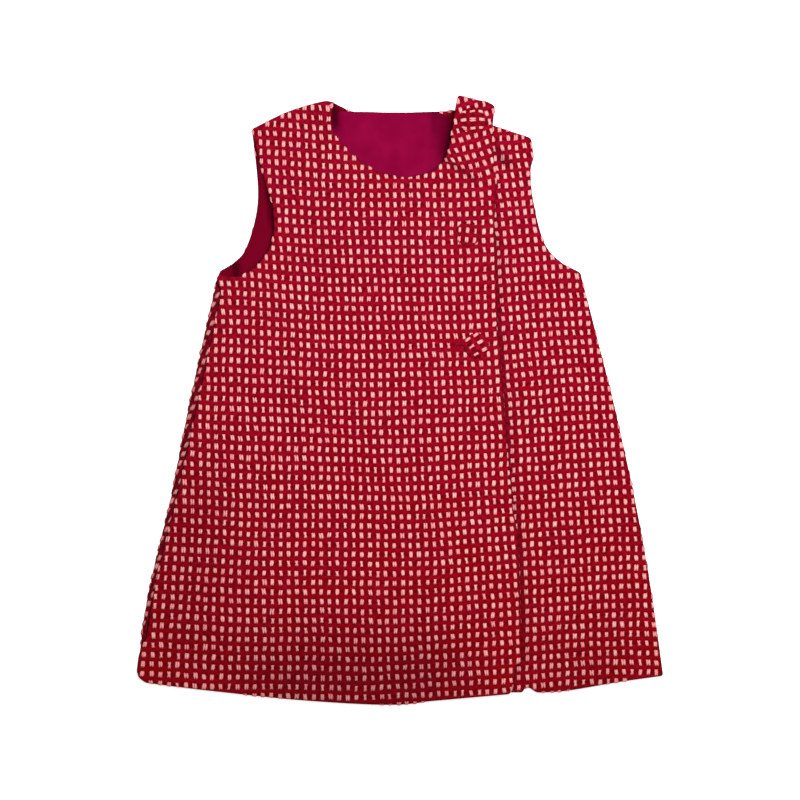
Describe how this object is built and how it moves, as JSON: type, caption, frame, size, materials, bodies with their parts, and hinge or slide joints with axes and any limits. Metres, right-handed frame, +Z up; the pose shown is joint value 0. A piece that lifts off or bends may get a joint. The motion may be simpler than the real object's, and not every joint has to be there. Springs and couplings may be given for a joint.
{
  "type": "toddler's a-line pinafore dress, laid flat",
  "caption": "Sleeveless A-line toddler pinafore in chunky pip-weave cloth, laid flat on its back, with an asymmetric lapped front and covered buttons.",
  "frame": {"origin": "centre of the footprint on the surface the dress lies on", "axes": "+Y from hem to neck, +X to the wearer's left, +Z up through the layers"},
  "size_m": [0.4208, 0.4872, 0.014],
  "materials": {
    "pip_cloth": "chunky red woven cloth with cream-pink pips in a grid",
    "lining_cloth": "smooth magenta lining with a soft sheen",
    "button_cloth": "the same pip cloth stretched over a domed button"
  },
  "bodies": {
    "root": {"back_panel": "pip_cloth", "back_lining": "lining_cloth", "side_front_panel": "pip_cloth", "front_panel": "pip_cloth", "button_shoulder": "button_cloth", "button_chest": "button_cloth", "button_waist": "button_cloth"}
  },
  "joints": []
}
